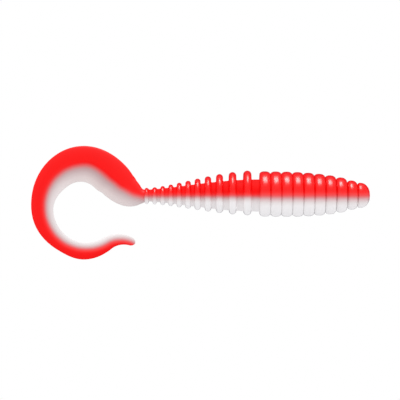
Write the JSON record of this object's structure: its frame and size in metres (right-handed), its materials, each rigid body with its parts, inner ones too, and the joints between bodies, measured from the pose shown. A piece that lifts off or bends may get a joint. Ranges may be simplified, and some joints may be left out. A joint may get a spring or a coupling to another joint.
{
  "type": "soft plastic worm",
  "caption": "Ringed soft-plastic fishing worm with a red back, a white belly and a flat curled tail that sways and uncurls as it swims; a hook goes in at its nose.",
  "frame": {"origin": "the tip of the nose, on the body's centre line, where a hook goes in", "axes": "+X out of the nose, the way the worm swims; +Z out of its red back; Y across it, and the tail's flat blade stands in the XZ plane"},
  "size_m": [0.0751, 0.01, 0.0251],
  "materials": {
    "red_plastisol": "soft glossy, faintly see-through",
    "white_plastisol": "soft glossy, milky"
  },
  "bodies": {
    "front_body": {"front_body_back": "red_plastisol", "front_body_belly": "white_plastisol"},
    "disc_01": {"disc_01_back": "red_plastisol", "disc_01_belly": "white_plastisol"},
    "disc_02": {"disc_02_back": "red_plastisol", "disc_02_belly": "white_plastisol"},
    "disc_03": {"disc_03_back": "red_plastisol", "disc_03_belly": "white_plastisol"},
    "disc_04": {"disc_04_back": "red_plastisol", "disc_04_belly": "white_plastisol"},
    "disc_05": {"disc_05_back": "red_plastisol", "disc_05_belly": "white_plastisol"},
    "disc_06": {"disc_06_back": "red_plastisol", "disc_06_belly": "white_plastisol"},
    "disc_07": {"disc_07_back": "red_plastisol", "disc_07_belly": "white_plastisol"},
    "disc_08": {"disc_08_back": "red_plastisol", "disc_08_belly": "white_plastisol"},
    "disc_09": {"disc_09_back": "red_plastisol", "disc_09_belly": "white_plastisol"},
    "disc_10": {"disc_10_back": "red_plastisol", "disc_10_belly": "white_plastisol"},
    "disc_11": {"disc_11_back": "red_plastisol", "disc_11_belly": "white_plastisol"},
    "tail_01": {"tail_01_back": "red_plastisol", "tail_01_belly": "white_plastisol"},
    "tail_02": {"tail_02_back": "red_plastisol", "tail_02_belly": "white_plastisol"},
    "tail_03": {"tail_03_back": "red_plastisol", "tail_03_belly": "white_plastisol"},
    "tail_04": {"tail_04_back": "red_plastisol", "tail_04_belly": "white_plastisol"},
    "tail_05": {"tail_05_back": "red_plastisol", "tail_05_belly": "white_plastisol"},
    "tail_06": {"tail_06_back": "red_plastisol", "tail_06_belly": "white_plastisol"},
    "tail_07": {"tail_07_back": "red_plastisol", "tail_07_belly": "white_plastisol"},
    "tail_08": {"tail_08_back": "red_plastisol", "tail_08_belly": "white_plastisol"},
    "tail_09": {"tail_09_back": "red_plastisol", "tail_09_belly": "white_plastisol"},
    "tail_10": {"tail_10_back": "red_plastisol", "tail_10_belly": "white_plastisol"}
  },
  "joints": [
    {"name": "body_sway_1", "type": "hinge", "parent": "front_body", "child": "disc_01", "pos_m": [-0.02534, 0, -0.0002], "axis": [0, 0, 1], "range_deg": [-8, 8], "stiffness_Nm_per_rad": 0.00636},
    {"name": "body_arch_1", "type": "hinge", "parent": "disc_01", "child": "disc_02", "pos_m": [-0.02881, 0, -0.0002], "axis": [0, 1, 0], "range_deg": [-6, 6], "stiffness_Nm_per_rad": 0.0052},
    {"name": "body_sway_2", "type": "hinge", "parent": "disc_02", "child": "disc_03", "pos_m": [-0.03188, 0, -0.0002], "axis": [0, 0, 1], "range_deg": [-8, 8], "stiffness_Nm_per_rad": 0.0046},
    {"name": "body_arch_2", "type": "hinge", "parent": "disc_03", "child": "disc_04", "pos_m": [-0.03459, 0, -0.0002], "axis": [0, 1, 0], "range_deg": [-6, 6], "stiffness_Nm_per_rad": 0.00369},
    {"name": "body_sway_3", "type": "hinge", "parent": "disc_04", "child": "disc_05", "pos_m": [-0.03701, 0, -0.0002], "axis": [0, 0, 1], "range_deg": [-8, 8], "stiffness_Nm_per_rad": 0.00274},
    {"name": "body_arch_3", "type": "hinge", "parent": "disc_05", "child": "disc_06", "pos_m": [-0.03921, 0, -0.0002], "axis": [0, 1, 0], "range_deg": [-6, 6], "stiffness_Nm_per_rad": 0.00191},
    {"name": "body_sway_4", "type": "hinge", "parent": "disc_06", "child": "disc_07", "pos_m": [-0.04124, 0, -0.0002], "axis": [0, 0, 1], "range_deg": [-8, 8], "stiffness_Nm_per_rad": 0.00126},
    {"name": "body_arch_4", "type": "hinge", "parent": "disc_07", "child": "disc_08", "pos_m": [-0.04314, 0, -0.0002], "axis": [0, 1, 0], "range_deg": [-6, 6], "stiffness_Nm_per_rad": 0.000801},
    {"name": "body_sway_5", "type": "hinge", "parent": "disc_08", "child": "disc_09", "pos_m": [-0.04497, 0, -0.0002], "axis": [0, 0, 1], "range_deg": [-8, 8], "stiffness_Nm_per_rad": 0.000496},
    {"name": "body_arch_5", "type": "hinge", "parent": "disc_09", "child": "disc_10", "pos_m": [-0.04676, 0, -0.0002], "axis": [0, 1, 0], "range_deg": [-6, 6], "stiffness_Nm_per_rad": 0.000311},
    {"name": "body_sway_6", "type": "hinge", "parent": "disc_10", "child": "disc_11", "pos_m": [-0.04853, 0, -0.0002], "axis": [0, 0, 1], "range_deg": [-8, 8], "stiffness_Nm_per_rad": 0.000211},
    {"name": "tail_swing", "type": "hinge", "parent": "disc_11", "child": "tail_01", "pos_m": [-0.0503, 0, 0], "axis": [0, 0, 1], "range_deg": [-25, 25], "stiffness_Nm_per_rad": 0.000152},
    {"name": "tail_uncurl_1", "type": "hinge", "parent": "tail_01", "child": "tail_02", "pos_m": [-0.05542, 0, 0.00176], "axis": [0, 1, 0], "range_deg": [-4, 12], "stiffness_Nm_per_rad": 0.00109},
    {"name": "tail_wave_1", "type": "hinge", "parent": "tail_02", "child": "tail_03", "pos_m": [-0.05935, 0, 0.0057], "axis": [0.4503, 0, 0.8929], "range_deg": [-12, 12], "stiffness_Nm_per_rad": 0.0000334},
    {"name": "tail_uncurl_2", "type": "hinge", "parent": "tail_03", "child": "tail_04", "pos_m": [-0.06485, 0, 0.00643], "axis": [0, 1, 0], "range_deg": [-5, 15], "stiffness_Nm_per_rad": 0.000811},
    {"name": "tail_wave_2", "type": "hinge", "parent": "tail_04", "child": "tail_05", "pos_m": [-0.06974, 0, 0.00378], "axis": [-0.7121, 0, 0.702], "range_deg": [-12, 12], "stiffness_Nm_per_rad": 0.0000149},
    {"name": "tail_uncurl_3", "type": "hinge", "parent": "tail_05", "child": "tail_06", "pos_m": [-0.07232, 0, -0.00116], "axis": [0, 1, 0], "range_deg": [-6.4, 19.2], "stiffness_Nm_per_rad": 0.000234},
    {"name": "tail_wave_3", "type": "hinge", "parent": "tail_06", "child": "tail_07", "pos_m": [-0.07169, 0, -0.00669], "axis": [-0.9167, 0, -0.3997], "range_deg": [-12, 12], "stiffness_Nm_per_rad": 0.00000883},
    {"name": "tail_uncurl_4", "type": "hinge", "parent": "tail_07", "child": "tail_08", "pos_m": [-0.06807, 0, -0.01091], "axis": [0, 1, 0], "range_deg": [-8, 24], "stiffness_Nm_per_rad": 0.0000793},
    {"name": "tail_wave_4", "type": "hinge", "parent": "tail_08", "child": "tail_09", "pos_m": [-0.0627, 0, -0.01239], "axis": [0.0298, 0, -0.9996], "range_deg": [-12, 12], "stiffness_Nm_per_rad": 0.00000736},
    {"name": "tail_uncurl_5", "type": "hinge", "parent": "tail_09", "child": "tail_10", "pos_m": [-0.0574, 0, -0.01064], "axis": [0, 1, 0], "range_deg": [-9.2, 27.6], "stiffness_Nm_per_rad": 0.0000371}
  ],
  "couplings": [
    {"joint": "body_sway_2", "follows": "body_sway_1", "ratio": 1},
    {"joint": "body_arch_2", "follows": "body_arch_1", "ratio": 1},
    {"joint": "body_sway_3", "follows": "body_sway_1", "ratio": 1},
    {"joint": "body_arch_3", "follows": "body_arch_1", "ratio": 1},
    {"joint": "body_sway_4", "follows": "body_sway_1", "ratio": 1},
    {"joint": "body_arch_4", "follows": "body_arch_1", "ratio": 1},
    {"joint": "body_sway_5", "follows": "body_sway_1", "ratio": 1},
    {"joint": "body_arch_5", "follows": "body_arch_1", "ratio": 1},
    {"joint": "body_sway_6", "follows": "body_sway_1", "ratio": 1},
    {"joint": "tail_uncurl_2", "follows": "tail_uncurl_1", "ratio": 1.25},
    {"joint": "tail_wave_2", "follows": "tail_wave_1", "ratio": 1},
    {"joint": "tail_uncurl_3", "follows": "tail_uncurl_1", "ratio": 1.6},
    {"joint": "tail_wave_3", "follows": "tail_wave_1", "ratio": 1},
    {"joint": "tail_uncurl_4", "follows": "tail_uncurl_1", "ratio": 2},
    {"joint": "tail_wave_4", "follows": "tail_wave_1", "ratio": 1},
    {"joint": "tail_uncurl_5", "follows": "tail_uncurl_1", "ratio": 2.3}
  ]
}
